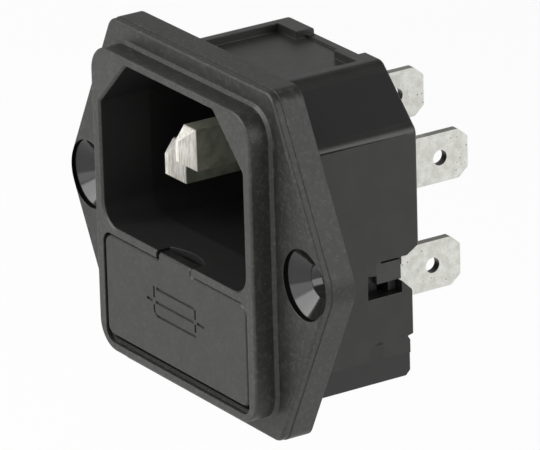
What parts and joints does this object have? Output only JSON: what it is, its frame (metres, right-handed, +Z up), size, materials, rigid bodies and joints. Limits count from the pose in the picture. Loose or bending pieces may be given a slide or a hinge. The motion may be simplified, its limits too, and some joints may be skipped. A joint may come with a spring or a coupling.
{
  "type": "power entry module",
  "caption": "Panel-mount mains inlet socket in black plastic with a pull-out drawer for cartridge fuses below it, countersunk fixing ears and push-on rear tabs.",
  "frame": {"origin": "midway between the centres of the two fixing holes, in the plane of the flange face that lies on the panel", "axes": "+Y into the panel, along the plugging direction; +Z up with the fuse drawer below the socket; +X to the right seen from the front, through both fixing holes"},
  "size_m": [0.043, 0.0277, 0.0338],
  "materials": {
    "housing_plastic": "fine spark-eroded texture",
    "cover_plastic": "satin",
    "drawer_plastic": "fine spark-eroded texture",
    "contact_plating": "nickel plated",
    "tab_plating": "tin plated, dull",
    "clip_plating": "tin plated, dull",
    "fuse_tube": "clear",
    "fuse_end_cap": "nickel plated",
    "fuse_link": "drawn wire"
  },
  "bodies": {
    "housing": {"front_housing": "housing_plastic", "rear_cover": "cover_plastic", "earth_pin": "contact_plating", "neutral_pin": "contact_plating", "line_pin": "contact_plating", "earth_tab": "tab_plating", "neutral_tab": "tab_plating", "line_fuse_clip": "clip_plating", "load_fuse_clip": "clip_plating"},
    "drawer": {"fuse_drawer": "drawer_plastic", "fuse_glass": "fuse_tube", "fuse_cap_left": "fuse_end_cap", "fuse_cap_right": "fuse_end_cap", "fuse_wire": "fuse_link", "spare_fuse_glass": "fuse_tube", "spare_fuse_cap_left": "fuse_end_cap", "spare_fuse_cap_right": "fuse_end_cap", "spare_fuse_wire": "fuse_link"}
  },
  "joints": [
    {"name": "drawer_slide", "type": "slide", "parent": "housing", "child": "drawer", "axis": [0, -1, 0], "range_m": [0, 0.016]}
  ]
}
